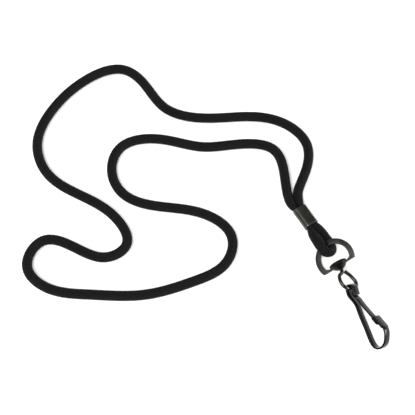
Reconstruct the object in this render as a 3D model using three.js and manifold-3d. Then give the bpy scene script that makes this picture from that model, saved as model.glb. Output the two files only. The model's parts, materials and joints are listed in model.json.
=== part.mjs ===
// Neck lanyard: one round cord crimped into a loop, a flat swivel ring, a wire eye and a strip hook.
// Millimetres, +Z up. The lanyard lies on the plane z = 0.
// Origin: the centre of the crimp's flat underside. +Y runs from the hook to the neck loop.
import * as THREE from 'three';
import { mergeVertices } from 'three/addons/utils/BufferGeometryUtils.js';
import Module from 'manifold-3d';

const wasm = await Module();
wasm.setup();

// ---------------------------------------------------------------- driving dimensions
const GAP = 0.3;                 // running clearance between pieces that touch or pass through

const CORD_D = 5.2;              // round braided cord
const CORD_SIDES = 10;
const CORD_STEP = 11;            // length of one straight step along the cord

const CRIMP_LENGTH = 12.4;
const CRIMP_WALL = 0.8;
const CRIMP_CORNER = 2.0;        // outside corner radius of the flattened sleeve
const STRAND_W = 2.7;            // one strand squeezed inside the crimp
const STRAND_H = 4.2;
const STRAND_REACH = 1.6;        // how far the squeezed strand shows past each mouth
const STRAND_SPREAD = 0.35;      // how far it leans outward there

const RING_R = 11.0;             // outside radius of the ring band
const BAND_W = 2.8;
const BAND_T = 1.1;
const BAND_END = 5.0;            // how far past the ring's centre the band's outer edge runs
const BAND_END_INSIDE = 3.1;     // the same for its inner edge
const NECK_W = 1.1;              // narrow necks that join the band to the cup
const NECK_LENGTH = 2.9;
const NECK_AT = 0.3;             // the necks' place along the swivel axis
const RING_TO_CUP = 4.2;         // ring centre to cup centre
const CUP_R = 5.1;
const CUP_T = 0.9;
const CUP_DEPTH = 3.2;
const CUP_RIM = -0.2;            // the rim's place along the swivel axis
const RING_RISE = 0.75;          // the leaning band's lowest middle line above the plane

const WIRE_D = 2.0;              // swivel eye
const HEAD_D = 4.2;
const HEAD_T = 1.2;
const EYE_REACH = 14.7;          // cup centre to the middle of the eye's far side
const EYE_HALF = 6.2;            // half width of the eye to the middle of the wire
const EYE_ROLL = 50;             // degrees, how far the eye and the hook have turned in the swivel

const STRIP_T = 1.0;             // hook strip
const LEG_W = 4.2;
const WRAP_W = 5.2;
const WRAP_BELLY = 0.8;          // how far the wrap's back side bulges past the wire
const GATE_W = 4.2;
const GATE_T = 0.6;
const FLANGE_T = 0.6;            // sides of the channel at the hook's tip
const FLANGE_H = 1.5;
const FLANGE_LENGTH = 5.0;
const HOOK_SWING = 7;            // degrees, how far the hook leans back in the eye

// where the cord passes the ring's bar
const BAR_X = 0.18;
const BAR_PAST = 11.4;           // from the round strands' start to the bar
const UNDER = CORD_D / 2 + 0.1;  // height of the cord's middle under the bar
const OVER = UNDER + CORD_D + 0.8;
const BAR_Z = (UNDER + OVER) / 2 + 0.05;
const SWIVEL_TURN = 7;           // degrees from -Y towards -X

const rad = THREE.MathUtils.degToRad;
const V2 = (x, y) => new THREE.Vector2(x, y);

// ---------------------------------------------------------------- materials
const matt = (color, roughness, metalness) =>
  new THREE.MeshStandardMaterial({ color, roughness, metalness });
const cordMaterial = matt(0x17171a, 0.9, 0.0);
const crimpMaterial = matt(0x3b3e3c, 0.45, 0.9);
const ringMaterial = matt(0x45453f, 0.5, 0.85);
const wireMaterial = matt(0x34352f, 0.35, 0.9);
const hookMaterial = matt(0x24262a, 0.3, 0.9);
const gateMaterial = matt(0x33353a, 0.35, 0.9);

// ---------------------------------------------------------------- solids and booleans
function solid(geometry) {
  const bare = geometry.index ? geometry.toNonIndexed() : geometry.clone();
  bare.deleteAttribute('normal');
  bare.deleteAttribute('uv');
  const merged = mergeVertices(bare, 1e-4);
  return new wasm.Manifold(new wasm.Mesh({
    numProp: 3,
    vertProperties: new Float32Array(merged.attributes.position.array),
    triVerts: new Uint32Array(merged.index.array),
  }));
}

function geometryOf(body) {
  const mesh = body.getMesh();
  const geometry = new THREE.BufferGeometry();
  geometry.setAttribute('position', new THREE.BufferAttribute(mesh.vertProperties.slice(), 3));
  geometry.setIndex(new THREE.BufferAttribute(mesh.triVerts.slice(), 1));
  geometry.computeVertexNormals();
  return geometry;
}

function named(name, geometry, material) {
  const mesh = new THREE.Mesh(geometry, material);
  mesh.name = name;
  return mesh;
}

// An ellipse with flat sides, for a cord pressed to the given width and height.
function ovalShape(width, height, sides) {
  const points = [];
  for (let i = 0; i < sides; i++) {
    const a = (2 * Math.PI * (i + 0.5)) / sides;
    points.push(V2((width / 2) * Math.cos(a), (height / 2) * Math.sin(a)));
  }
  return new THREE.Shape(points);
}

function roundedBox(width, height, radius) {
  const x = width / 2 - radius;
  const y = height / 2 - radius;
  const shape = new THREE.Shape();
  shape.absarc(x, y, radius, 0, Math.PI / 2);
  shape.absarc(-x, y, radius, Math.PI / 2, Math.PI);
  shape.absarc(-x, -y, radius, Math.PI, 1.5 * Math.PI);
  shape.absarc(x, -y, radius, 1.5 * Math.PI, 2 * Math.PI);
  shape.closePath();
  return shape;
}

function tube(shape, curve, steps) {
  return new THREE.ExtrudeGeometry(shape, { steps, bevelEnabled: false, extrudePath: curve });
}

// ---------------------------------------------------------------- cord
const HALF_CRIMP = CRIMP_LENGTH / 2;
const STRAND_X = STRAND_W / 2 + 0.15;
const STRAND_END = HALF_CRIMP + STRAND_REACH;
const ROUND_X = CORD_D / 2 + 0.2;    // the round strands beside each other past the crimp
const ROUND_Y = STRAND_END + CORD_D / 6.5;    // where they start
const BAR_Y = -ROUND_Y - BAR_PAST;

// The neck loop's route over the plane, from the crimp's left strand round to its right strand.
const NECK_ROUTE = [
  [-ROUND_X, ROUND_Y], [-ROUND_X + 0.7, ROUND_Y + 4.8], [2.3, 23.0], [8.5, 45.0], [-3.0, 56.5],
  [-25.0, 68.0], [-44.0, 86.0], [-65.5, 92.5], [-76.5, 83.0], [-78.5, 66.5], [-64.0, 48.0],
  [-46.0, 31.0], [-41.0, 12.0], [-51.5, 1.0], [-72.0, 1.0], [-99.5, 9.0], [-124.5, 25.0],
  [-142.0, 41.0], [-144.5, 57.5], [-130.5, 65.5], [-118.5, 54.5], [-103.0, 37.5], [-92.5, 39.0],
  [-89.0, 52.0], [-99.0, 78.0], [-108.5, 100.0], [-104.0, 121.0], [-85.0, 136.0], [-61.0, 142.5],
  [-37.0, 136.5], [-32.5, 126.0], [-30.0, 101.5], [-13.5, 83.0], [7.5, 71.0], [21.5, 58.5],
  [26.5, 37.0], [14.6, 22.2], [7.9, 17.2], [ROUND_X + 1.3, ROUND_Y + 4.4], [ROUND_X, ROUND_Y],
];

// The bight below the crimp: over the ring's bar from the left strand, and back under it.
const BIGHT_ROUTE = [
  [-ROUND_X, -ROUND_Y, UNDER + 0.7], [-ROUND_X - 0.4, -ROUND_Y - 4.0, UNDER + 2.5],
  [-ROUND_X - 1.0, BAR_Y + 3.6, OVER - 1.1], [-ROUND_X - 1.2, BAR_Y - 0.4, OVER],
  [-ROUND_X - 0.4, BAR_Y - 3.8, OVER - 0.8], [-0.9, BAR_Y - 5.3, BAR_Z - 0.3],
  [1.7, BAR_Y - 3.9, UNDER + 0.5], [ROUND_X, BAR_Y - 0.6, UNDER], [ROUND_X, BAR_Y + 3.4, UNDER],
  [ROUND_X, -ROUND_Y - 4.0, UNDER], [ROUND_X, -ROUND_Y, UNDER],
];

const spline = (points) => new THREE.CatmullRomCurve3(points, false, 'centripetal');
const roundCord = ovalShape(CORD_D, CORD_D, CORD_SIDES);

function neckCord() {
  const curve = spline(NECK_ROUTE.map(([x, y]) => new THREE.Vector3(x, y, CORD_D / 2)));
  const steps = Math.round(curve.getLength() / CORD_STEP);
  return named('neck_cord', tube(roundCord, curve, steps), cordMaterial);
}

// Each strand through the crimp, from above its upper mouth to below its lower one.
function strand(name, side) {
  const z = CRIMP_H / 2;
  const curve = spline([-STRAND_END, -HALF_CRIMP, 0, HALF_CRIMP, STRAND_END].map(
    (y) => new THREE.Vector3(side * (STRAND_X + (Math.abs(y) > HALF_CRIMP ? STRAND_SPREAD : 0)), y, z)));
  // along +Y the section's first axis stands upright
  return named(name, tube(ovalShape(STRAND_H, STRAND_W, CORD_SIDES), curve, 8), cordMaterial);
}

function bight() {
  const curve = spline(BIGHT_ROUTE.map((p) => new THREE.Vector3(...p)));
  return named('hook_loop', tube(roundCord, curve, 22), cordMaterial);
}

// ---------------------------------------------------------------- crimp
const CRIMP_INNER_W = 2 * STRAND_X + STRAND_W + 2 * GAP;
const CRIMP_INNER_H = STRAND_H + 2 * GAP;
const CRIMP_W = CRIMP_INNER_W + 2 * CRIMP_WALL;
const CRIMP_H = CRIMP_INNER_H + 2 * CRIMP_WALL;

function crimpSleeve() {
  const shape = roundedBox(CRIMP_W, CRIMP_H, CRIMP_CORNER);
  shape.holes.push(roundedBox(CRIMP_INNER_W, CRIMP_INNER_H, CRIMP_CORNER - CRIMP_WALL));
  const geometry = new THREE.ExtrudeGeometry(shape, {
    depth: CRIMP_LENGTH, bevelEnabled: false, curveSegments: 4,
  });
  geometry.translate(0, 0, -CRIMP_LENGTH / 2);
  const mesh = named('crimp_sleeve', geometry, crimpMaterial);
  mesh.rotation.x = Math.PI / 2;
  mesh.position.z = CRIMP_H / 2;
  return mesh;
}

// ---------------------------------------------------------------- swivel ring
// In the swivel's own frame +X runs along the swivel axis to the hook, and the cup's centre is at 0.
const CUP_HOLE_R = WIRE_D / 2 + GAP;

function bandShape() {
  const inner = RING_R - BAND_W;
  const outerEnd = Math.asin(BAND_END / RING_R);
  const innerEnd = Math.asin(BAND_END_INSIDE / inner);
  const x = -RING_TO_CUP;
  const rim = CUP_R - CUP_T;
  const front = NECK_AT + NECK_W / 2;
  const back = NECK_AT - NECK_W / 2;
  const shape = new THREE.Shape();
  shape.absarc(x, 0, RING_R, Math.PI / 2 - outerEnd, 1.5 * Math.PI + outerEnd);
  shape.lineTo(front, -rim - NECK_LENGTH);
  shape.lineTo(front, -rim);
  shape.lineTo(back, -rim);
  shape.lineTo(back, -rim - NECK_LENGTH / 2);
  shape.absarc(x, 0, inner, 1.5 * Math.PI + innerEnd, Math.PI / 2 - innerEnd, true);
  shape.lineTo(back, rim + NECK_LENGTH / 2);
  shape.lineTo(back, rim);
  shape.lineTo(front, rim);
  shape.lineTo(front, rim + NECK_LENGTH);
  shape.closePath();
  return shape;
}

// The cup is a dish of even wall round the swivel axis. It bulges towards the hook, and its hollow
// side holds the wire's head.
const cupFace = (r) => CUP_RIM + CUP_DEPTH * (1 - (r / CUP_R) ** 2);

function cupProfile() {
  const points = [];
  const steps = 5;
  for (let i = 0; i <= steps; i++) {
    const r = CUP_HOLE_R + ((CUP_R - CUP_HOLE_R) * i) / steps;
    points.push(V2(r, cupFace(r) - CUP_T));
  }
  for (let i = steps; i >= 0; i--) {
    const r = CUP_HOLE_R + ((CUP_R - CUP_HOLE_R) * i) / steps;
    points.push(V2(r, cupFace(r)));
  }
  points.push(points[0].clone());
  return points;
}

function swivelRing() {
  const band = new THREE.ExtrudeGeometry(bandShape(), {
    depth: BAND_T, bevelEnabled: false, curveSegments: 26,
  });
  band.translate(0, 0, -BAND_T / 2);
  const cup = new THREE.LatheGeometry(cupProfile(), 32);
  cup.rotateZ(-Math.PI / 2);
  const body = solid(band).add(solid(cup));
  return named('swivel_ring', geometryOf(body), ringMaterial);
}

// ---------------------------------------------------------------- swivel eye
// The wire runs from its head through the cup, round the eye, and ends beside the shank.
const HEAD_AT = cupFace(HEAD_D / 2) - CUP_T - GAP;

function swivelEye() {
  const far = EYE_REACH;
  const route = [
    [HEAD_AT - HEAD_T / 2, 0], [HEAD_AT + 1.0, 0], [3.8, 0.1], [5.0, 1.2], [6.2, EYE_HALF - 2.1],
    [8.4, EYE_HALF - 0.4], [far - 3.4, EYE_HALF], [far - 1.4, EYE_HALF - 0.9],
    [far - 0.3, EYE_HALF - 2.4], [far, EYE_HALF - 3.6], [far, 0], [far, -EYE_HALF + 3.6],
    [far - 0.3, -EYE_HALF + 2.4], [far - 1.4, -EYE_HALF + 0.9], [far - 3.4, -EYE_HALF],
    [8.6, -EYE_HALF + 0.8], [6.4, -EYE_HALF + 2.2], [4.6, -2.1],
  ];
  const curve = spline(route.map(([x, y]) => new THREE.Vector3(x, y, 0)));
  const wire = tube(ovalShape(WIRE_D, WIRE_D, 10), curve, 64);
  const head = new THREE.CylinderGeometry(HEAD_D / 2, HEAD_D / 2 - 0.3, HEAD_T, 24);
  head.rotateZ(Math.PI / 2);
  head.translate(HEAD_AT - HEAD_T / 2, 0, 0);
  return named('swivel_eye', geometryOf(solid(wire).add(solid(head))), wireMaterial);
}

// ---------------------------------------------------------------- hook
// In the hook's own frame +X runs along the back leg from the eye's wire, and +Y to the hook's tip.
const WRAP_R = WIRE_D / 2 + GAP + STRIP_T / 2;

// A flat strip seen edge on: the line down its middle, thickened, and given a width along Z.
function strip(points, thickness, width, samples) {
  const curve = new THREE.CatmullRomCurve3(
    points.map(([x, y]) => new THREE.Vector3(x, y, 0)), false, 'centripetal');
  const left = [];
  const right = [];
  for (let i = 0; i <= samples; i++) {
    const p = curve.getPoint(i / samples);
    const t = curve.getTangent(i / samples);
    left.push(V2(p.x - (t.y * thickness) / 2, p.y + (t.x * thickness) / 2));
    right.push(V2(p.x + (t.y * thickness) / 2, p.y - (t.x * thickness) / 2));
  }
  const outline = new THREE.Shape(left.concat(right.reverse()));
  const geometry = new THREE.ExtrudeGeometry(outline, { depth: width, bevelEnabled: false });
  geometry.translate(0, 0, -width / 2);
  return solid(geometry);
}

const BACK = -1.1;               // where the back leg lies below the eye's wire
const TIP_END = [19.3, 6.9];
const TIP_ROOT = [26.6, 9.6];

function hookBody() {
  const wrap = strip([
    [4.4, 1.15], [2.6, 1.45], [0.9, WRAP_R - 0.1], [-0.6, WRAP_R - 0.1], [-WRAP_R, 0],
    [-1.0, -WRAP_R + 0.2], [0.8, -WRAP_R - WRAP_BELLY * 0.7], [3.0, -WRAP_R - WRAP_BELLY],
    [5.6, -2.0], [8.2, BACK - 0.1],
  ], STRIP_T, WRAP_W, 36);
  const leg = strip([
    [7.6, BACK - 0.3], [14.0, -1.2], [24.0, -1.4], [30.6, -1.5], [33.4, -0.8], [35.0, 0.9], [35.4, 3.2],
    [34.4, 5.8], [31.6, 8.2], [28.7, 9.5], TIP_ROOT, [25.0, 9.0],
  ], STRIP_T, LEG_W, 48);
  const channelW = GATE_W + 2 * GAP + 2 * FLANGE_T;
  const roof = strip([TIP_END, TIP_ROOT], STRIP_T, channelW, 2);
  const angle = Math.atan2(TIP_ROOT[1] - TIP_END[1], TIP_ROOT[0] - TIP_END[0]);
  let body = wrap.add(leg).add(roof);
  for (const side of [-1, 1]) {
    const flange = new THREE.BoxGeometry(FLANGE_LENGTH, FLANGE_H, FLANGE_T);
    flange.translate(FLANGE_LENGTH / 2, -FLANGE_H / 2, 0);
    flange.rotateZ(angle);
    flange.translate(TIP_END[0], TIP_END[1], side * (channelW - FLANGE_T) / 2);
    body = body.add(solid(flange));
  }
  return named('hook_body', geometryOf(body), hookMaterial);
}

function hookGate() {
  const body = strip([
    [2.3, 0.05], [4.2, 0.1], [5.4, 0.7], [6.8, 1.35], [9.0, 2.0], [12.4, 3.1], [17.0, 4.8],
    [20.6, 6.15],
    [24.0, 7.4],
  ], GATE_T, GATE_W, 20);
  return named('hook_gate', geometryOf(body), gateMaterial);
}

// ---------------------------------------------------------------- assembly
const lanyard = new THREE.Group();
lanyard.add(neckCord(), strand('strand_left', -1), strand('strand_right', 1), bight());
lanyard.add(crimpSleeve());

// The swivel frame: +X along the swivel axis. The ring, the eye and the hook each turn about it.
const swivel = new THREE.Group();
swivel.rotation.z = rad(-90 - SWIVEL_TURN);
const barToCup = new THREE.Vector3(RING_TO_CUP + RING_R - BAND_W / 2, 0, 0);
swivel.position.set(BAR_X, BAR_Y, BAR_Z).add(barToCup.applyEuler(swivel.rotation));

const ring = new THREE.Group();
ring.rotation.x = Math.asin((BAR_Z - RING_RISE) / RING_R);
ring.add(swivelRing());
swivel.add(ring);

const eye = new THREE.Group();
eye.rotation.x = rad(EYE_ROLL + 90);
eye.add(swivelEye());
swivel.add(eye);

const hook = new THREE.Group();
hook.position.x = EYE_REACH;
hook.rotation.set(rad(EYE_ROLL), 0, rad(-HOOK_SWING), 'XYZ');
hook.add(hookBody(), hookGate());
swivel.add(hook);

lanyard.add(swivel);
export default lanyard;
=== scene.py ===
# %% [markdown]
# # A neck lanyard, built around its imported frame
#
# The real object is one length of black braided cord. Both ends go side by side into a flattened metal
# sleeve, the crimp, and come out below it as a short bight that holds a flat swivel ring. A wire eye turns
# in the ring's dished centre, and a folded strip hook with a springy gate hangs in the eye.
# The frame gives the sizes and the moving bodies. This script gives each piece its visible surface.

import json
import math

import bmesh
import bpy
import numpy as np
from mathutils import Matrix, Vector


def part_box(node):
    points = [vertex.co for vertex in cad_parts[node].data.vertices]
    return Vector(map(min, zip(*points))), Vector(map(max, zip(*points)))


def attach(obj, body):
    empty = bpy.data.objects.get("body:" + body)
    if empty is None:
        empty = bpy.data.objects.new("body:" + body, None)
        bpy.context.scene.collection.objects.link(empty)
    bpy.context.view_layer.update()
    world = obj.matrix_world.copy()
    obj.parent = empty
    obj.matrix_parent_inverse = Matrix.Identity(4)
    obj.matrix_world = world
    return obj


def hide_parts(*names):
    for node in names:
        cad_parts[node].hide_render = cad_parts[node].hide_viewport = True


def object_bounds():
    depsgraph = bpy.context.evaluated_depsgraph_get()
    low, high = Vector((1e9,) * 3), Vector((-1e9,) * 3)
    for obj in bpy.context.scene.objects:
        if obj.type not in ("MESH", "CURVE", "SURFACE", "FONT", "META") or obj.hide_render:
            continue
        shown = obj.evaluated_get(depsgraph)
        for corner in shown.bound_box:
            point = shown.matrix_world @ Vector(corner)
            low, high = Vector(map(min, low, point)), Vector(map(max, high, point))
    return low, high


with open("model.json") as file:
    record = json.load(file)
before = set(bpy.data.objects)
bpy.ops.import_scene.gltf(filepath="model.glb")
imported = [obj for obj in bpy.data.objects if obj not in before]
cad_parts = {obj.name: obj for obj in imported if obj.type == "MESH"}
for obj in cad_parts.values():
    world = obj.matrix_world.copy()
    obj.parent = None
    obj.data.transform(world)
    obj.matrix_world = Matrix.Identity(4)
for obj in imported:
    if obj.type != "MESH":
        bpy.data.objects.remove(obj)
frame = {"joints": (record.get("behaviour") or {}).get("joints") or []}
CAD_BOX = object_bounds()
MM = 0.001

# %% [markdown]
# ## Camera
#
# The lanyard lies flat and is seen from above, leaning a little towards the hook's side. A long lens from
# about half a metre keeps the loop's shape true and still makes the near part of the cord a bit thicker.

# %% Camera
TARGET = Vector((-0.0422, 0.0352, 0.0))
HEADING = math.radians(32.2)      # the way the camera looks over the floor, from +Y towards +X
ELEVATION = math.radians(66.0)
DISTANCE = 0.56
LENS = 86.4

away = Vector((math.sin(HEADING), math.cos(HEADING), 0.0))
view_from = Vector((0, 0, math.sin(ELEVATION))) - away * math.cos(ELEVATION)
camera_data = bpy.data.cameras.new("camera")
camera_data.lens = LENS
camera_data.sensor_width = 36.0
camera = bpy.data.objects.new("camera", camera_data)
bpy.context.scene.collection.objects.link(camera)
camera.location = TARGET + view_from * DISTANCE
camera.rotation_euler = (-view_from).to_track_quat("-Z", "Y").to_euler()
bpy.context.scene.camera = camera
print("camera at", [round(c, 4) for c in camera.location])

# %% [markdown]
# ## Where the cord runs
#
# A cord is a fixed length of something limp, so its route comes first. The neck loop leaves the crimp's
# upper mouth, wanders over the floor and comes back to the same mouth, where each strand is pressed to an
# oval. The bight leaves the lower mouth, passes over the ring's bar and returns under it.
# A natural cubic spline through the route's points bends as evenly as a real cord does.

# %% Routes, in metres
CORD_D = 0.0052
SWELL = 0.00022                   # the soft braid stands this far proud of its nominal width
NECK_ROUTE = [
    (-0.0020, 0.0086), (-0.0016, 0.0134), (0.0023, 0.0230), (0.0085, 0.0450), (-0.0030, 0.0565),
    (-0.0250, 0.0680), (-0.0440, 0.0860), (-0.0655, 0.0925), (-0.0765, 0.0830), (-0.0785, 0.0665),
    (-0.0640, 0.0480), (-0.0460, 0.0310), (-0.0410, 0.0120), (-0.0515, 0.0010), (-0.0720, 0.0010),
    (-0.0995, 0.0090), (-0.1245, 0.0250), (-0.1420, 0.0410), (-0.1445, 0.0575), (-0.1305, 0.0655),
    (-0.1185, 0.0545), (-0.1030, 0.0375), (-0.0925, 0.0390), (-0.0890, 0.0520), (-0.0990, 0.0780),
    (-0.1085, 0.1000), (-0.1040, 0.1210), (-0.0850, 0.1360), (-0.0610, 0.1425), (-0.0370, 0.1365),
    (-0.0325, 0.1260), (-0.0300, 0.1015), (-0.0135, 0.0830), (0.0075, 0.0710), (0.0215, 0.0585),
    (0.0265, 0.0370), (0.0146, 0.0222), (0.0076, 0.0171), (0.0036, 0.0126), (0.0022, 0.0086),
]
BIGHT_ROUTE = [
    (-0.0021, -0.0084, 0.0034), (-0.0030, -0.0126, 0.0052), (-0.0037, -0.0164, 0.0075),
    (-0.0045, -0.0204, 0.0086), (-0.0041, -0.0238, 0.0078), (-0.0012, -0.0250, 0.0054),
    (0.0017, -0.0238, 0.0032), (0.0028, -0.0206, 0.0027), (0.0028, -0.0166, 0.0026),
    (0.0027, -0.0126, 0.0026), (0.0022, -0.0084, 0.0027),
]
CRIMP_LOW, CRIMP_HIGH = (np.array(corner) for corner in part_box("crimp_sleeve"))
CRIMP_MID = (CRIMP_LOW + CRIMP_HIGH) / 2
STRAND_X = 0.00150                # middle of each strand in the crimp
STRAND_HALF_W = 0.00140           # the pressed strand's half width and half height
STRAND_HALF_H = 0.00212
MOUTH = CRIMP_HIGH[1]             # the crimp's upper mouth; the lower one is as far below


def with_mouths(route, mouth):
    """Adds the two places where a route meets the crimp, just inside its mouth."""
    inside = mouth * 0.8
    ends = []
    for side in (-1, 1):
        ends.append([(side * STRAND_X, inside, CRIMP_MID[2]), (side * STRAND_X, mouth, CRIMP_MID[2])])
    return ends[0] + route + ends[1][::-1]


def even_spline(points, step):
    """A natural cubic spline through the points, as points an even step apart."""
    p = np.array(points, float)
    t = np.concatenate([[0.0], np.cumsum(np.linalg.norm(np.diff(p, axis=0), axis=1))])
    h = np.diff(t)
    rows = len(p)
    a = np.eye(rows)
    b = np.zeros((rows, 3))
    for i in range(1, rows - 1):
        a[i, i - 1:i + 2] = (h[i - 1], 2 * (h[i - 1] + h[i]), h[i])
        b[i] = 6 * ((p[i + 1] - p[i]) / h[i] - (p[i] - p[i - 1]) / h[i - 1])
    m = np.linalg.solve(a, b)
    fine = np.linspace(0, t[-1], rows * 60)
    k = np.clip(np.searchsorted(t, fine) - 1, 0, rows - 2)
    left = ((t[k + 1] - fine) / h[k])[:, None]
    right = 1 - left
    bend = ((left ** 3 - left) * m[k] + (right ** 3 - right) * m[k + 1]) * (h[k] ** 2 / 6)[:, None]
    curve = left * p[k] + right * p[k + 1] + bend
    run = np.concatenate([[0.0], np.cumsum(np.linalg.norm(np.diff(curve, axis=0), axis=1))])
    count = max(2, round(run[-1] / step)) + 1
    at = np.linspace(0, run[-1], count)
    return np.column_stack([np.interp(at, run, curve[:, axis]) for axis in range(3)]), run[-1]


NECK_STEP = 0.00042
BIGHT_STEP = 0.00036
neck_points = with_mouths([(x, y, CORD_D / 2 + SWELL) for x, y in NECK_ROUTE], MOUTH)
neck_path, neck_length = even_spline(neck_points, NECK_STEP)
bight_points = with_mouths(BIGHT_ROUTE, -MOUTH)
bight_path, bight_length = even_spline(bight_points, BIGHT_STEP)
print(f"neck loop {neck_length:.4f} m, bight {bight_length:.4f} m")

# %% [markdown]
# ## Sections along the cord
#
# At every point the cord has a width, a height and two directions square to its run. Carrying the
# directions forward by the smallest turn keeps the braid from twisting where the route bends.

# %% Directions and sections


def unit(v):
    return v / np.linalg.norm(v, axis=-1, keepdims=True)


def carried_frame(path, first_side):
    """The side and up directions along a path, each carried from the one before."""
    run = unit(np.gradient(path, axis=0))
    side = np.zeros_like(run)
    before = np.array(first_side, float)
    for i, tangent in enumerate(run):
        before = before - tangent * (before @ tangent)
        before = before / np.linalg.norm(before)
        side[i] = before
    return side, np.cross(run, side)


def sections(path, length, swelling_run, swell):
    """Half width and half height: pressed at both ends, swelling quickly to round past the mouths."""
    along = np.linspace(0, length, len(path))
    past_mouth = np.minimum(along, length - along) - MOUTH * 0.2
    grown = np.clip(past_mouth / swelling_run, 0, 1) ** 0.6
    grown = grown * grown * (3 - 2 * grown) * 0.5 + grown * 0.5
    half_w = STRAND_HALF_W + (CORD_D / 2 + swell - STRAND_HALF_W) * grown
    half_h = STRAND_HALF_H + (CORD_D / 2 + swell - STRAND_HALF_H) * grown
    return half_w, half_h


SWELLING_RUN = 0.007              # how far past a mouth the cord is round again
SPREAD = 0.00060                  # how much wider the bight's upper strand lies on each side
SQUEEZE = 0.00045                 # how much flatter the bight's fold is on each side
neck_side, neck_up = carried_frame(neck_path, (1, 0, 0))
neck_half_w, neck_half_h = sections(neck_path, neck_length, SWELLING_RUN, SWELL)
bight_side, bight_up = carried_frame(bight_path, (1, 0, 0))
bight_half_w, bight_half_h = sections(bight_path, bight_length, SWELLING_RUN, 0)
share = np.linspace(0, 1, len(bight_path))
bight_half_w += SPREAD * np.exp(-((share - 0.27) / 0.12) ** 2)
bight_half_h -= SQUEEZE * np.exp(-((share - 0.50) / 0.17) ** 2)
print("sections:", len(neck_path), "along the neck,", len(bight_path), "along the bight")

# %% [markdown]
# ## Node helpers
#
# Materials and geometry trees are easier to read as sums than as wires. `Sum` wraps a socket, and the
# usual signs add the Math node that they stand for. `Tree.node` adds any other node.

# %% Expressions on sockets


class Sum:
    """A socket of a node tree that can be added, multiplied and so on."""

    def __init__(self, tree, socket):
        self.tree = tree
        self.socket = socket

    def _math(self, operation, *values):
        node = self.tree.nodes.new("ShaderNodeMath")
        node.operation = operation
        for slot, value in zip(node.inputs, values):
            put(self.tree, slot, value)
        return Sum(self.tree, node.outputs[0])

    def __add__(self, other):
        return self._math("ADD", self, other)

    def __radd__(self, other):
        return self._math("ADD", other, self)

    def __sub__(self, other):
        return self._math("SUBTRACT", self, other)

    def __rsub__(self, other):
        return self._math("SUBTRACT", other, self)

    def __mul__(self, other):
        return self._math("MULTIPLY", self, other)

    def __rmul__(self, other):
        return self._math("MULTIPLY", other, self)

    def __truediv__(self, other):
        return self._math("DIVIDE", self, other)

    def __rtruediv__(self, other):
        return self._math("DIVIDE", other, self)

    def __mod__(self, other):
        return self._math("FLOORED_MODULO", self, other)

    def sin(self):
        return self._math("SINE", self)

    def cos(self):
        return self._math("COSINE", self)

    def less_than(self, other):
        return self._math("LESS_THAN", self, other)

    def clamped(self, low, high):
        return self._math("MINIMUM", self._math("MAXIMUM", self, low), high)


def put(tree, slot, value):
    """Links a Sum or a socket into a slot, or sets a plain value on it."""
    if isinstance(value, Sum):
        value = value.socket
    if isinstance(value, bpy.types.NodeSocket):
        tree.links.new(value, slot)
    else:
        slot.default_value = value


class Tree:
    """A node tree with one method that adds any node: settings first, then socket values or links."""

    def __init__(self, tree):
        self.tree = tree

    def node(self, kind, settings=None, output=0, **values):
        made = self.tree.nodes.new(kind)
        for name, value in (settings or {}).items():
            setattr(made, name, value)
        for name, value in values.items():
            slot = made.inputs[int(name[1:])] if name[0] == "i" and name[1:].isdigit() \
                else made.inputs[name.replace("_", " ")]
            put(self.tree, slot, value)
        return Sum(self.tree, made.outputs[output])


# %% [markdown]
# ## The braid as geometry
#
# The cord is a tubular braid: half of the yarns wind one way, half the other, and each passes over two
# and under two of the others. Copying a sweater's texture onto a tube would leave a smooth edge, so every
# yarn is real geometry. The geometry tree copies the cord's centre line once for each yarn, moves each
# copy to its own helix, lifts it where it passes over, and sweeps a small flat section along it.

# %% The braid tree
YARNS = 24
BRAID_ANGLE = math.radians(40)
TURN_LENGTH = math.pi * CORD_D / math.tan(BRAID_ANGLE)
YARN_T = 0.00052
YARN_W = math.pi * CORD_D / (YARNS / 2) * math.cos(BRAID_ANGLE) * 1.02
LIFT = 0.00016


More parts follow.
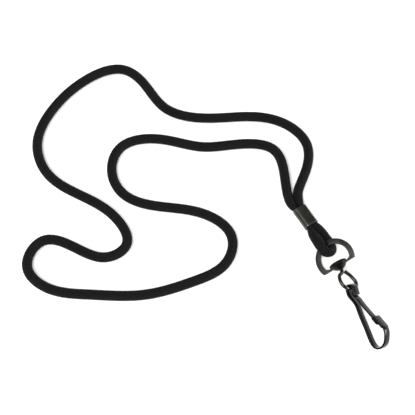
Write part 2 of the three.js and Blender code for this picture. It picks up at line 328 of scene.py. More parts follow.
def braid_tree():
    group = bpy.data.node_groups.new("braid", "GeometryNodeTree")
    face = group.interface
    face.new_socket("Line", in_out="INPUT", socket_type="NodeSocketGeometry")
    face.new_socket("Yarns", in_out="INPUT", socket_type="NodeSocketInt")
    face.new_socket("Yarn width", in_out="INPUT", socket_type="NodeSocketFloat")
    face.new_socket("Yarn thickness", in_out="INPUT", socket_type="NodeSocketFloat")
    face.new_socket("Lift", in_out="INPUT", socket_type="NodeSocketFloat")
    face.new_socket("Cord width", in_out="INPUT", socket_type="NodeSocketFloat")
    face.new_socket("Material", in_out="INPUT", socket_type="NodeSocketMaterial")
    face.new_socket("Braid", in_out="OUTPUT", socket_type="NodeSocketGeometry")
    t = Tree(group)
    inputs = group.nodes.new("NodeGroupInput").outputs
    count = Sum(group, inputs["Yarns"])
    thickness = Sum(group, inputs["Yarn thickness"])
    width = Sum(group, inputs["Yarn width"])
    lift = Sum(group, inputs["Lift"])

    def named(name, kind="FLOAT"):
        return t.node("GeometryNodeInputNamedAttribute", {"data_type": kind}, Name=name)

    curve = t.node("GeometryNodeMeshToCurve", i0=inputs["Line"])
    copies = group.nodes.new("GeometryNodeDuplicateElements")
    copies.domain = "SPLINE"
    put(group, copies.inputs["Geometry"], curve)
    put(group, copies.inputs["Amount"], count)
    index = Sum(group, copies.outputs["Duplicate Index"])
    half = count / 2
    first = index.less_than(half - 0.5)
    way = first * 2 - 1
    number = index % half
    turn = named("turn")
    spacing = 2 * math.pi / half
    angle = way * turn + number * spacing
    crossing = 2 * turn / spacing
    phase = 2 * number + way * crossing - 0.5
    over = way * (phase * (math.pi / 2)).cos()
    height = (over * 1.5).clamped(-1, 1) * lift
    half_w = named("half_w")
    half_h = named("half_h")
    inset = thickness / 2 + lift
    wide = half_w - inset + height
    tall = half_h - inset + height
    side = named("side", "FLOAT_VECTOR")
    up = named("up", "FLOAT_VECTOR")

    def scaled(vector, factor):
        return t.node("ShaderNodeVectorMath", {"operation": "SCALE"}, i0=vector, i3=factor)

    def added(a, b):
        return t.node("ShaderNodeVectorMath", {"operation": "ADD"}, i0=a, i1=b)

    offset = added(scaled(side, wide * angle.cos()), scaled(up, tall * angle.sin()))
    outward = added(scaled(side, half_h * angle.cos()), scaled(up, half_w * angle.sin()))
    outward = t.node("ShaderNodeVectorMath", {"operation": "NORMALIZE"}, i0=outward)
    yarns = t.node("GeometryNodeSetPosition", Geometry=copies.outputs["Geometry"], Offset=offset)
    yarns = t.node("GeometryNodeSetCurveNormal", {"mode": "FREE"}, Curve=yarns, Normal=outward)
    girth = (half_w + half_h) / Sum(group, inputs["Cord width"])
    yarns = t.node("GeometryNodeSetCurveRadius", Curve=yarns, Radius=girth)
    run = t.node("GeometryNodeSplineParameter", output=1)
    yarns = t.node("GeometryNodeStoreNamedAttribute", {"data_type": "FLOAT", "domain": "POINT"},
                   Geometry=yarns, Name="along", Value=run)
    yarns = t.node("GeometryNodeStoreNamedAttribute", {"data_type": "FLOAT", "domain": "POINT"},
                   Geometry=yarns, Name="yarn", Value=index)
    profile = t.node("GeometryNodeCurvePrimitiveCircle", {"mode": "RADIUS"}, Resolution=6, Radius=0.5)
    turned = t.node("GeometryNodeTransform", Geometry=profile,
                    Rotation=(0, 0, math.radians(30)))
    across = t.node("GeometryNodeSplineParameter")
    marked = t.node("GeometryNodeStoreNamedAttribute", {"data_type": "FLOAT", "domain": "POINT"},
                    Geometry=turned, Name="across", Value=across)
    size = t.node("ShaderNodeCombineXYZ", X=thickness, Y=width, Z=1.0)
    marked = t.node("GeometryNodeTransform", Geometry=marked, Scale=size)
    swept = t.node("GeometryNodeCurveToMesh", Curve=yarns, Profile_Curve=marked, Fill_Caps=True)
    swept = t.node("GeometryNodeSetShadeSmooth", Geometry=swept)
    whole = t.node("GeometryNodeRealizeInstances", Geometry=swept)
    finished = t.node("GeometryNodeSetMaterial", Geometry=whole, Material=inputs["Material"])
    output = group.nodes.new("NodeGroupOutput")
    put(group, output.inputs["Braid"], finished)
    return group


BRAID = braid_tree()
print("braid tree:", len(BRAID.nodes), "nodes, one turn every", round(TURN_LENGTH / MM, 1), "mm")

# %% [markdown]
# ## Materials
#
# Each surface has its own finish: black polyester yarn, satin gunmetal plating on the crimp and the ring,
# and a glossier black nickel on the wire and the hook. Metals that were tumbled and handled are a little
# lighter along their edges, so every metal piece carries a `wear` value at its edges that the materials
# read.

# %% A material's start


def new_material(name):
    material = bpy.data.materials.new(name)
    material.use_nodes = True
    tree = material.node_tree
    tree.nodes.clear()
    t = Tree(tree)
    shader = tree.nodes.new("ShaderNodeBsdfPrincipled")
    output = tree.nodes.new("ShaderNodeOutputMaterial")
    tree.links.new(shader.outputs[0], output.inputs["Surface"])
    return material, t, shader


def blended(t, factor, low, high):
    """A colour between two others."""
    mix = t.tree.nodes.new("ShaderNodeMix")
    mix.data_type = "RGBA"
    colours = [slot for slot in mix.inputs if slot.type == "RGBA"]
    put(t.tree, mix.inputs[0], factor)
    for slot, value in zip(colours, (low, high)):
        put(t.tree, slot, value)
    result = next(slot for slot in mix.outputs if slot.type == "RGBA")
    return Sum(t.tree, result)


def attribute(t, name):
    return t.node("ShaderNodeAttribute", {"attribute_name": name}, output=2)


# %% Black braided yarn


def yarn_material():
    material, t, shader = new_material("black_yarn")
    place = t.node("ShaderNodeTexCoord", output=3)
    along = attribute(t, "along")
    across = attribute(t, "across")
    yarn = attribute(t, "yarn")
    patches = t.node("ShaderNodeTexNoise", Vector=place, Scale=160.0, Detail=3.0)
    fuzz = t.node("ShaderNodeTexNoise", Vector=place, Scale=5200.0, Detail=2.0)
    number = t.node("ShaderNodeTexWhiteNoise", {"noise_dimensions": "1D"}, W=yarn)
    shade = patches * 0.5 + number * 0.3 + fuzz * 0.2
    colour = blended(t, shade, (0.0020, 0.0018, 0.0019, 1), (0.0060, 0.0054, 0.0056, 1))
    put(t.tree, shader.inputs["Base Color"], colour)
    put(t.tree, shader.inputs["Roughness"], 0.62 + fuzz * 0.2)
    strands = ((across * 2 * math.pi * 9 + along * 2600.0).sin() + fuzz * 1.2) * 0.5
    bump = t.node("ShaderNodeBump", Strength=0.55, Distance=0.00006, Height=strands)
    put(t.tree, shader.inputs["Normal"], bump)
    shader.inputs["Sheen Weight"].default_value = 0.02
    shader.inputs["Sheen Roughness"].default_value = 0.45
    shader.inputs["Sheen Tint"].default_value = (0.7, 0.68, 0.7, 1)
    shader.inputs["Specular IOR Level"].default_value = 0.1
    return material


YARN = yarn_material()


def core_material():
    material, t, shader = new_material("cord_core")
    place = t.node("ShaderNodeTexCoord", output=3)
    grain = t.node("ShaderNodeTexNoise", Vector=place, Scale=2400.0, Detail=2.0)
    colour = blended(t, grain, (0.004, 0.004, 0.004, 1), (0.010, 0.010, 0.011, 1))
    put(t.tree, shader.inputs["Base Color"], colour)
    put(t.tree, shader.inputs["Roughness"], 0.8 + grain * 0.15)
    bump = t.node("ShaderNodeBump", Strength=0.4, Distance=0.0001, Height=grain)
    put(t.tree, shader.inputs["Normal"], bump)
    return material


CORE = core_material()
print("materials:", YARN.name, CORE.name)

# %% Plated metals


def plated(name, dark, light, roughness, mottle, bump_depth):
    """Plated steel: a mottled base, softer and lighter where the edges are worn."""
    material, t, shader = new_material(name)
    place = t.node("ShaderNodeTexCoord", output=3)
    cloud = t.node("ShaderNodeTexNoise", Vector=place, Scale=420.0, Detail=4.0)
    grain = t.node("ShaderNodeTexNoise", Vector=place, Scale=3800.0, Detail=3.0)
    specks = t.node("ShaderNodeTexVoronoi", {"feature": "F1"}, Vector=place, Scale=1500.0)
    wear = attribute(t, "wear") * (cloud * 1.1 + 0.25)
    wear = wear.clamped(0.0, 1.0)
    tone = (cloud * mottle + grain * 0.25 + wear * 0.75).clamped(0.0, 1.0)
    put(t.tree, shader.inputs["Base Color"], blended(t, tone, dark, light))
    rough = roughness + (cloud - 0.5) * 0.22 + (grain - 0.5) * 0.12 - wear * 0.08
    put(t.tree, shader.inputs["Roughness"], rough.clamped(0.08, 0.95))
    relief = grain * 0.6 + cloud * 0.5 - (specks * 3.0).clamped(0.0, 0.6) * 0.5
    bump = t.node("ShaderNodeBump", Strength=0.35, Distance=bump_depth, Height=relief)
    put(t.tree, shader.inputs["Normal"], bump)
    shader.inputs["Metallic"].default_value = 1.0
    return material


CRIMP_METAL = plated("crimp_gunmetal", (0.018, 0.018, 0.016, 1),
                     (0.068, 0.068, 0.059, 1),
                     0.42, 0.5, 0.00005)
RING_METAL = plated("ring_gunmetal", (0.006, 0.006, 0.0055, 1),
                    (0.022, 0.0215, 0.019, 1),
                    0.42, 0.55, 0.00005)
WIRE_METAL = plated("wire_black_nickel", (0.008, 0.008, 0.0072, 1),
                    (0.048, 0.048, 0.043, 1),
                    0.22, 0.5, 0.00003)
HOOK_METAL = plated("hook_black_nickel", (0.0032, 0.0033, 0.0031, 1),
                    (0.018, 0.0184, 0.0175, 1),
                    0.18, 0.4, 0.00002)
GATE_METAL = plated("gate_black_nickel", (0.0045, 0.0046, 0.0043, 1),
                    (0.020, 0.0204, 0.0195, 1),
                    0.22, 0.4, 0.00002)
print("plated metals made")

# %% [markdown]
# ## From numbers to pieces
#
# Every visible piece is a plain mesh whose object stays at the origin. These helpers make such an object,
# sweep a section along a line, and finish a metal piece: round its edges and mark them for wear.

# %% Mesh helpers


def piece(name, verts, faces, material, smooth=True):
    mesh = bpy.data.meshes.new(name)
    mesh.from_pydata([tuple(v) for v in verts], [], faces)
    mesh.validate()
    mesh.materials.append(material)
    obj = bpy.data.objects.new(name, mesh)
    bpy.context.scene.collection.objects.link(obj)
    if smooth:
        mesh.shade_smooth()
    return obj


def lofted(rings, closed=False):
    """Faces through rings of equal size, with flat ends unless the loft closes on itself."""
    count = len(rings[0])
    verts = np.vstack(rings)
    faces = []
    spans = len(rings) if closed else len(rings) - 1
    for r in range(spans):
        a = r * count
        b = ((r + 1) % len(rings)) * count
        for i in range(count):
            j = (i + 1) % count
            faces.append((a + i, a + j, b + j, b + i))
    if not closed:
        faces.append(tuple(range(count))[::-1])
        last = (len(rings) - 1) * count
        faces.append(tuple(last + i for i in range(count)))
    return verts, faces


def tidy_normals(obj):
    work = bmesh.new()
    work.from_mesh(obj.data)
    bmesh.ops.remove_doubles(work, verts=work.verts, dist=1e-7)
    bmesh.ops.recalc_face_normals(work, faces=work.faces)
    work.to_mesh(obj.data)
    work.free()


def settle(obj):
    """Applies the modifiers, so the piece is one plain mesh."""
    graph = bpy.context.evaluated_depsgraph_get()
    mesh = bpy.data.meshes.new_from_object(obj.evaluated_get(graph), depsgraph=graph)
    obj.modifiers.clear()
    old = obj.data
    obj.data = mesh
    bpy.data.meshes.remove(old)
    mesh.name = obj.name


def joined(obj, other):
    """Melts another closed piece into this one."""
    union = obj.modifiers.new("union", "BOOLEAN")
    union.operation = "UNION"
    union.solver = "EXACT"
    union.object = other
    settle(obj)
    bpy.data.objects.remove(other)


def edged(obj, width, segments=2, angle=32.0):
    """Rounds the piece's edges, marks them for wear and sets which of them shade sharp."""
    bevel = obj.modifiers.new("edges", "BEVEL")
    bevel.width = width
    bevel.segments = segments
    bevel.limit_method = "ANGLE"
    bevel.angle_limit = math.radians(angle)
    bevel.harden_normals = False
    settle(obj)
    mark_wear(obj, width)


def mark_wear(obj, width):
    """Stores 1 at the vertices of bent edges and 0 elsewhere. The width is not used."""
    mesh = obj.data
    work = bmesh.new()
    work.from_mesh(mesh)
    value = np.zeros(len(work.verts))
    for edge in work.edges:
        if len(edge.link_faces) == 2 and edge.calc_face_angle(0) > math.radians(14):
            for v in edge.verts:
                value[v.index] = 1.0
    work.free()
    layer = mesh.attributes.new("wear", "FLOAT", "POINT")
    layer.data.foreach_set("value", value.astype(np.float32))
    mesh.shade_smooth()
    mesh.set_sharp_from_angle(angle=math.radians(50))


# %% [markdown]
# ## The cord
#
# The core is a plain tube down the middle, dark enough that nothing shows between the yarns. The braid is
# made in three stretches and the bight in one, each turned from geometry nodes into a plain mesh.

# %% Core tubes


def oval_ring(centre, side, up, half_w, half_h, sides):
    a = np.linspace(0, 2 * np.pi, sides, endpoint=False)[:, None]
    return centre + side * half_w * np.cos(a) + up * half_h * np.sin(a)


def core_tube(name, path, side, up, half_w, half_h, stride, depth):
    rings = []
    for i in list(range(0, len(path) - 1, stride)) + [len(path) - 1]:
        rings.append(oval_ring(path[i], side[i], up[i], half_w[i] - depth, half_h[i] - depth, 14))
    verts, faces = lofted(rings)
    obj = piece(name, verts, faces, CORE)
    tidy_normals(obj)
    return obj


CORE_DEPTH = YARN_T * 0.75
neck_core = core_tube("neck_cord_core", neck_path, neck_side, neck_up,
                      neck_half_w, neck_half_h, 4, CORE_DEPTH)
bight_core = core_tube("bight_core", bight_path, bight_side, bight_up,
                       bight_half_w, bight_half_h, 2, CORE_DEPTH)
print("core tubes:", len(neck_core.data.polygons), "and", len(bight_core.data.polygons), "faces")

# %% Braided sleeves


def braided(name, path, side, up, half_w, half_h, start, stop):
    """One stretch of braid. The winding runs on from the stretch before."""
    steps = np.linalg.norm(np.diff(path, axis=0), axis=1)
    turn = np.concatenate([[0.0], np.cumsum(steps)]) * 2 * math.pi / TURN_LENGTH
    pick = slice(start, stop)
    mesh = bpy.data.meshes.new(name)
    points = path[pick]
    mesh.from_pydata([tuple(p) for p in points], [(i, i + 1) for i in range(len(points) - 1)], [])
    for label, values in (("half_w", half_w), ("half_h", half_h), ("turn", turn)):
        layer = mesh.attributes.new(label, "FLOAT", "POINT")
        layer.data.foreach_set("value", values[pick].astype(np.float32))
    for label, values in (("side", side), ("up", up)):
        layer = mesh.attributes.new(label, "FLOAT_VECTOR", "POINT")
        layer.data.foreach_set("vector", values[pick].astype(np.float32).ravel())
    obj = bpy.data.objects.new(name, mesh)
    bpy.context.scene.collection.objects.link(obj)
    weave = obj.modifiers.new("braid", "NODES")
    weave.node_group = BRAID
    sizes = {"Yarns": YARNS, "Yarn width": YARN_W, "Yarn thickness": YARN_T, "Lift": LIFT,
             "Cord width": CORD_D, "Material": YARN}
    for item in BRAID.interface.items_tree:
        if item.in_out == "INPUT" and item.name in sizes:
            weave[item.identifier] = sizes[item.name]
    settle(obj)
    for label in ("half_w", "half_h", "turn", "side", "up"):
        if label in obj.data.attributes:
            obj.data.attributes.remove(obj.data.attributes[label])
    return obj


STRETCHES = 3
cuts = np.linspace(0, len(neck_path) - 1, STRETCHES + 1).astype(int)
neck_braids = []
for number, (low, high) in enumerate(zip(cuts[:-1], cuts[1:]), start=1):
    neck_braids.append(braided(f"neck_braid_{number}", neck_path, neck_side, neck_up,
                               neck_half_w, neck_half_h, low, high + 1))
bight_braid = braided("bight_braid", bight_path, bight_side, bight_up, bight_half_w, bight_half_h,
                      0, len(bight_path))
print("braid faces:", [len(o.data.polygons) for o in neck_braids + [bight_braid]])

# %% The cord's facts
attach(neck_core, "cord")
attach(bight_core, "cord")
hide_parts("neck_cord")
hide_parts("hook_loop")
for obj in neck_braids + [bight_braid]:
    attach(obj, "cord")
print("declared a free cord of", round(neck_length, 3), "m")

# %% [markdown]
# ## The crimp
#
# A short steel tube is pressed flat over the two strands. Its section is a rounded box, its walls are
# thin, its mouths have rounded lips and its middle is pressed in by a tenth of a millimetre. Cutting it
# from a box would leave flat, sharp faces, so the sleeve is lofted from sections along its length.

# %% Crimp sleeve


def rounded_box(half_w, half_h, radius, per_corner):
    points = []
    for cx, cy, start in ((1, 1, 0), (-1, 1, 90), (-1, -1, 180), (1, -1, 270)):
        for k in range(per_corner + 1):
            a = math.radians(start + 90 * k / per_corner)
            points.append((cx * (half_w - radius) + radius * math.cos(a),
                           cy * (half_h - radius) + radius * math.sin(a)))
    return np.array(points)


CRIMP_WALL = 0.0008
CRIMP_CORNER = 0.0022


def crimp():
    half_w, half_len, half_h = (CRIMP_HIGH - CRIMP_LOW) / 2
    lip = 0.00018
    stations = [(-1.0, -lip), (-0.985, -lip * 0.3), (-0.96, 0.0), (-0.8, -0.00002), (-0.4, -0.00008),
                (0.0, -0.0001), (0.4, -0.00008), (0.8, -0.00002), (0.96, 0.0), (0.985, -lip * 0.3),
                (1.0, -lip)]
    rings = []

    def ring(share, inset, wall):
        outline = rounded_box(half_w + inset - wall, half_h + inset - wall,
                              CRIMP_CORNER - wall + inset, 8)
        y = CRIMP_MID[1] + half_len * share
        return np.column_stack([outline[:, 0] + CRIMP_MID[0], np.full(len(outline), y),
                                outline[:, 1] + CRIMP_MID[2]])

    for share, inset in stations:
        rings.append(ring(share, inset, 0.0))
    for share, inset in reversed(stations):
        rings.append(ring(share, -inset * 0.8, CRIMP_WALL))
    verts, faces = lofted(rings, closed=True)
    obj = piece("crimp", verts, faces, CRIMP_METAL)
    tidy_normals(obj)
    mark_wear(obj, lip)
    return obj


crimp_piece = crimp()
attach(crimp_piece, "cord")
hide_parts("crimp_sleeve", "strand_left", "strand_right")
print("crimp", [round(v / MM, 1) for v in crimp_piece.dimensions])

# %% [markdown]
# ## Where the hardware turns
#
# The ring, the eye and the hook are each drawn flat in a frame of their own and then turned into place.
# The joints of the frame say where: the swivel axis runs through the ring's cup, and the hook hangs from
# the far side of the eye.

# %% Placing frames
joints = {joint["name"]: joint for joint in frame["joints"]}
CUP_AT = Vector(joints["swivel_spin"]["pos_m"])
SWIVEL = Vector(joints["swivel_spin"]["axis"]).normalized()
PIVOT = Vector(joints["hook_swing"]["pos_m"])
WIDTH = Vector(joints["hook_swing"]["axis"]).normalized()
BAR = Vector(joints["ring_swing"]["axis"]).normalized()
HOOK_LEAN = math.radians(7)


def placing(origin, x, y):
    """The matrix that puts a flat drawing's x and y along two directions, from an origin."""
    z = x.cross(y)
    return Matrix((x, y, z)).transposed().to_4x4(), origin


def put_in_place(obj, place):
    turn, origin = place
    obj.data.transform(Matrix.Translation(origin) @ turn)
    obj.data.update()


RING_PLACE = placing(CUP_AT, SWIVEL, BAR)
EYE_PLACE = placing(CUP_AT, SWIVEL, WIDTH)
towards_tip = WIDTH.cross(SWIVEL)
leg_way = SWIVEL * math.cos(HOOK_LEAN) - towards_tip * math.sin(HOOK_LEAN)
HOOK_PLACE = placing(PIVOT, leg_way, WIDTH.cross(leg_way))
print("swivel axis", [round(c, 3) for c in SWIVEL])

# %% [markdown]
# ## The swivel ring
#
# The ring is stamped from flat steel: a C of even width whose ends step in to two short necks. Between
# them the metal is pressed into a dish round the swivel's hole. The C is an outline with thickness, the
# dish is a lathe, and a union melts them together before the edges are rounded.

# %% Ring
RING_R = 0.0110
BAND_W = 0.0030
BAND_T = 0.0011
BAND_END = 0.0050
BAND_END_INSIDE = 0.0031
NECK_W = 0.0011
NECK_LENGTH = 0.0029
NECK_AT = 0.0003
RING_TO_CUP = 0.0042
CUP_R = 0.0051
CUP_T = 0.0009
CUP_DEPTH = 0.0032
CUP_RIM = -0.0002
WIRE_R = 0.0010
GAP = 0.0003


def arc(centre, radius, start, end, count):
    a = np.linspace(start, end, count)
    return [(centre + radius * math.cos(v), radius * math.sin(v)) for v in a]


def plate(name, outline, thickness, material):
    """A flat outline with thickness, its middle on z = 0."""
    work = bmesh.new()
    low = [work.verts.new((x, y, -thickness / 2)) for x, y in outline]
    face = work.faces.new(low)
    made = bmesh.ops.extrude_face_region(work, geom=[face])
    for v in made["geom"]:
        if isinstance(v, bmesh.types.BMVert):
            v.co.z += thickness
    bmesh.ops.recalc_face_normals(work, faces=work.faces)
    mesh = bpy.data.meshes.new(name)
    work.to_mesh(mesh)
    work.free()
    mesh.materials.append(material)
    obj = bpy.data.objects.new(name, mesh)
    bpy.context.scene.collection.objects.link(obj)
    return obj


def turned_about_x(name, profile, sides, material):
    """A closed lathe about the x axis. The profile lists (x, radius) and closes on itself."""
    rings = []
    for k in range(sides):
        a = 2 * math.pi * k / sides
        rings.append(np.array([(x, r * math.cos(a), r * math.sin(a)) for x, r in profile]))
    verts, faces = lofted(rings, closed=True)
    obj = piece(name, verts, faces, material)
    tidy_normals(obj)
    return obj


def swivel_ring():
    inner = RING_R - BAND_W
    outer_end = math.asin(BAND_END / RING_R)
    inner_end = math.asin(BAND_END_INSIDE / inner)
    rim = CUP_R - CUP_T
    outline = arc(-RING_TO_CUP, RING_R, math.pi / 2 - outer_end, 1.5 * math.pi + outer_end, 72)
    front = NECK_AT + NECK_W / 2
    back = NECK_AT - NECK_W / 2
    outline += [(front, -rim - NECK_LENGTH), (front, -rim), (back, -rim), (back, -rim - NECK_LENGTH / 2)]
    outline += arc(-RING_TO_CUP, inner, 1.5 * math.pi + inner_end, math.pi / 2 - inner_end, 60)
    outline += [(back, rim + NECK_LENGTH / 2), (back, rim), (front, rim), (front, rim + NECK_LENGTH)]
    obj = plate("swivel_ring_band", outline, BAND_T, RING_METAL)
    dish = []
    steps = 12
    hole = WIRE_R + GAP
    radii = [hole + (CUP_R - hole) * k / steps for k in range(steps + 1)]
    face = [CUP_RIM + CUP_DEPTH * (1 - (r / CUP_R) ** 2) for r in radii]
    dish += [(x - CUP_T, r) for x, r in zip(face, radii)]
    dish += [(x, r) for x, r in zip(face[::-1], radii[::-1])]
    cup = turned_about_x("cup", dish, 64, RING_METAL)
    joined(obj, cup)
    edged(obj, 0.00022, 3)
    put_in_place(obj, RING_PLACE)
    return obj


ring_piece = swivel_ring()
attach(ring_piece, "ring")
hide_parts("swivel_ring")
print("ring", [round(v / MM, 1) for v in ring_piece.dimensions], len(ring_piece.data.polygons), "faces")

# %% [markdown]
# ## The swivel eye
#
# One wire makes the eye. Its end is upset into a head inside the ring's dish, the shank turns in the hole,
# and the wire runs round the eye until its cut end rests beside the shank.

# %% Eye
EYE_REACH = 0.0147
EYE_HALF = 0.0062
HEAD_R = 0.0021
HEAD_T = 0.0012
HEAD_AT = CUP_RIM + CUP_DEPTH * (1 - (HEAD_R / CUP_R) ** 2) - CUP_T - GAP
EYE_ROUTE = [
    (HEAD_AT - HEAD_T / 2, 0), (HEAD_AT + 0.0010, 0), (0.0038, 0.0001), (0.0050, 0.0012),
    (0.0062, EYE_HALF - 0.0021), (0.0084, EYE_HALF - 0.0004), (EYE_REACH - 0.0034, EYE_HALF),
    (EYE_REACH - 0.0014, EYE_HALF - 0.0009), (EYE_REACH - 0.0003, EYE_HALF - 0.0024),
    (EYE_REACH, EYE_HALF - 0.0036), (EYE_REACH, 0), (EYE_REACH, -EYE_HALF + 0.0036),
    (EYE_REACH - 0.0003, -EYE_HALF + 0.0024), (EYE_REACH - 0.0014, -EYE_HALF + 0.0009),
    (EYE_REACH - 0.0034, -EYE_HALF), (0.0086, -EYE_HALF + 0.0008), (0.0064, -EYE_HALF + 0.0022),
    (0.0046, -0.0021),
]


def swivel_eye():
    path, length = even_spline([(x, y, 0) for x, y in EYE_ROUTE], 0.00035)
    side, up = carried_frame(path, (0, 0, 1))
    rings = []
    last = len(path) - 1
    for i, centre in enumerate(path):
        rings.append(oval_ring(centre, side[i], up[i], WIRE_R, WIRE_R, 20))
    run = unit(path[last] - path[last - 1])
    for out, share in ((0.00010, 0.93), (0.00016, 0.80)):
        centre = path[last] + run * out
        rings.append(oval_ring(centre, side[last], up[last], WIRE_R * share, WIRE_R * share, 20))
    verts, faces = lofted(rings)
    obj = piece("swivel_eye_wire", verts, faces, WIRE_METAL)
    tidy_normals(obj)
    low = HEAD_AT - HEAD_T
    profile = [(low, 0.00002), (low, HEAD_R * 0.55), (low + 0.0002, HEAD_R * 0.85),
               (low + 0.0005, HEAD_R), (HEAD_AT - 0.0002, HEAD_R), (HEAD_AT, HEAD_R * 0.92),
               (HEAD_AT, 0.00002)]
    head = turned_about_x("head", profile, 32, WIRE_METAL)
    joined(obj, head)
    mark_wear(obj, 0.0002)
    put_in_place(obj, EYE_PLACE)
    return obj


eye_piece = swivel_eye()
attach(eye_piece, "eye")
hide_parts("swivel_eye")
print("eye", [round(v / MM, 1) for v in eye_piece.dimensions], len(eye_piece.data.polygons), "faces")

# %% [markdown]
# ## The hook and its gate
#
# The hook is one steel strip. It is folded round the eye's wire, runs down as the back leg, turns at the
# bend and comes back as a channel that receives the gate. Each stretch is a strip swept along a line in
# the hook's flat frame, and the channel adds two side walls to the strip's end.

# %% Strip sweep
STRIP_T = 0.0010


def strip(name, line, thickness, widths, step, material, radius):
    """A strip along a flat line. widths lists (share of the length, width), and radius rounds its edges."""
    path, length = even_spline([(x, y, 0) for x, y in line], step)
    run = unit(np.gradient(path, axis=0))
    normal = np.column_stack([-run[:, 1], run[:, 0], np.zeros(len(run))])
    share = np.linspace(0, 1, len(path))
    width = np.interp(share, [w[0] for w in widths], [w[1] for w in widths])
    rings = []
    for i, centre in enumerate(path):
        outline = rounded_box(thickness / 2, width[i] / 2, radius, 3)
        rings.append(centre + normal[i] * outline[:, :1] + np.array((0, 0, 1)) * outline[:, 1:])
    verts, faces = lofted(rings)
    obj = piece(name, verts, faces, material)
    tidy_normals(obj)
    return obj


# %% Hook body
LEG_W = 0.0042
WRAP_W = 0.0052
WRAP_BELLY = 0.0008
GATE_W = 0.0042
GATE_T = 0.0006
FLANGE_T = 0.0006
FLANGE_H = 0.0015
FLANGE_LENGTH = 0.0050
CHANNEL_W = GATE_W + 2 * GAP + 2 * FLANGE_T
BACK = -0.0011
WRAP_R = WIRE_R + GAP + STRIP_T / 2
TIP_END = (0.0193, 0.0069)
TIP_ROOT = (0.0266, 0.0096)


def hook_body():
    line = [
        (0.0044, 0.00115), (0.0026, 0.00145), (0.0009, WRAP_R - 0.0001), (-0.0006, WRAP_R - 0.0001),
        (-WRAP_R, 0), (-0.0010, -WRAP_R + 0.0002), (0.0008, -WRAP_R - WRAP_BELLY * 0.7),
        (0.0030, -WRAP_R - WRAP_BELLY), (0.0056, -0.0020), (0.0082, BACK - 0.0001),
        (0.0140, -0.0012), (0.0240, -0.0014), (0.0306, -0.0015),
        (0.0334, -0.0008), (0.0350, 0.0009), (0.0354, 0.0032), (0.0344, 0.0058), (0.0316, 0.0082),
        (0.0287, 0.0095), TIP_ROOT, (0.0250, 0.0090),
    ]
    widths = [(0, WRAP_W), (0.21, WRAP_W), (0.27, LEG_W), (0.88, LEG_W), (1, LEG_W + 0.0004)]
    obj = strip("hook_strip", line, STRIP_T, widths, 0.0003, HOOK_METAL, 0.00025)
    roof = strip("roof", [TIP_END, TIP_ROOT], STRIP_T, [(0, CHANNEL_W), (1, CHANNEL_W)], 0.0006,
                 HOOK_METAL, 0.00025)
    joined(obj, roof)
    way = unit(np.array([TIP_ROOT[0] - TIP_END[0], TIP_ROOT[1] - TIP_END[1], 0.0]))
    down = np.array([way[1], -way[0], 0.0])
    for side in (-1, 1):
        outline = rounded_box(FLANGE_H / 2, FLANGE_T / 2, 0.0002, 3)
        rings = []
        for share, shrink in ((0.0, 0.6), (0.03, 1.0), (0.8, 1.0), (0.93, 0.75), (1.0, 0.5)):
            centre = np.array([*TIP_END, 0.0]) + way * FLANGE_LENGTH * share
            centre = centre + np.array((0, 0, side * (CHANNEL_W - FLANGE_T) / 2))
            depth = (outline[:, :1] + FLANGE_H / 2) * shrink
            rings.append(centre + down * depth + np.array((0, 0, 1)) * outline[:, 1:])
        verts, faces = lofted(rings)
        flange = piece("flange", verts, faces, HOOK_METAL)
        tidy_normals(flange)
        joined(obj, flange)
    mark_wear(obj, 0.0002)
    put_in_place(obj, HOOK_PLACE)
    return obj


hook_piece = hook_body()
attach(hook_piece, "hook")
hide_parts("hook_body")
print("hook", [round(v / MM, 1) for v in hook_piece.dimensions], len(hook_piece.data.polygons), "faces")

# %% Gate


def hook_gate():
    line = [
        (0.0023, 0.00005), (0.0042, 0.0001), (0.0054, 0.0007), (0.0068, 0.00135), (0.0090, 0.0020),
        (0.0124, 0.0031), (0.0170, 0.0048), (0.0206, 0.00615), (0.0240, 0.0074),
    ]
    obj = strip("gate_strip", line, GATE_T, [(0, GATE_W), (1, GATE_W)], 0.0003, GATE_METAL, 0.00018)
    mark_wear(obj, 0.0002)
    put_in_place(obj, HOOK_PLACE)
    return obj


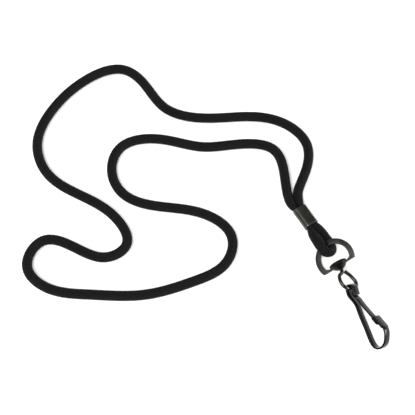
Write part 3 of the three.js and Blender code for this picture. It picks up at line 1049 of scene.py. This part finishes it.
gate_piece = hook_gate()
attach(gate_piece, "gate")
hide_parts("hook_gate")
print("gate", [round(v / MM, 1) for v in gate_piece.dimensions])

# %% [markdown]
# ## Floor and light
#
# A plain pale floor and broad soft lamps, as for a catalogue shot. The world adds an even white fill, so
# the black cord keeps some shape in its shadows.

# %% Floor


def floor_material():
    material, t, shader = new_material("pale_floor")
    place = t.node("ShaderNodeTexCoord", output=3)
    grain = t.node("ShaderNodeTexNoise", Vector=place, Scale=40.0, Detail=2.0)
    colour = blended(t, grain, (0.90, 0.90, 0.90, 1), (0.93, 0.93, 0.93, 1))
    put(t.tree, shader.inputs["Base Color"], colour)
    shader.inputs["Roughness"].default_value = 0.85
    return material


FLOOR_HALF = 2.0
floor = piece("floor", [(-FLOOR_HALF, -FLOOR_HALF, 0), (FLOOR_HALF, -FLOOR_HALF, 0),
                        (FLOOR_HALF, FLOOR_HALF, 0), (-FLOOR_HALF, FLOOR_HALF, 0)],
              [(0, 1, 2, 3)], floor_material(), smooth=False)
floor.location.z = min(0.0, CAD_BOX[0][2]) - 0.00005

# %% Lights


def area_light(name, place, aim, size, power):
    data = bpy.data.lights.new(name, "AREA")
    data.shape = "SQUARE"
    data.size = size
    data.energy = power
    lamp = bpy.data.objects.new(name, data)
    bpy.context.scene.collection.objects.link(lamp)
    lamp.location = place
    lamp.rotation_euler = (Vector(aim) - Vector(place)).to_track_quat("-Z", "Y").to_euler()
    return lamp


area_light("key", TARGET + view_from * 1.3 + Vector((-0.25, 0.15, 0.0)), TARGET, 1.0, 24)
area_light("left_fill", (-1.0, 0.5, 0.9), TARGET, 0.9, 6)
area_light("right_low", (0.80, -0.52, 0.18), TARGET, 0.45, 12)
WORLD_STRENGTH = 0.45
world = bpy.data.worlds.new("studio")
world.use_nodes = True
world.node_tree.nodes["Background"].inputs["Color"].default_value = (1, 1, 1, 1)
world.node_tree.nodes["Background"].inputs["Strength"].default_value = WORLD_STRENGTH
bpy.context.scene.world = world
bpy.context.scene.view_settings.view_transform = "Standard"

# %% Sizes, and finish
low, high = CAD_BOX
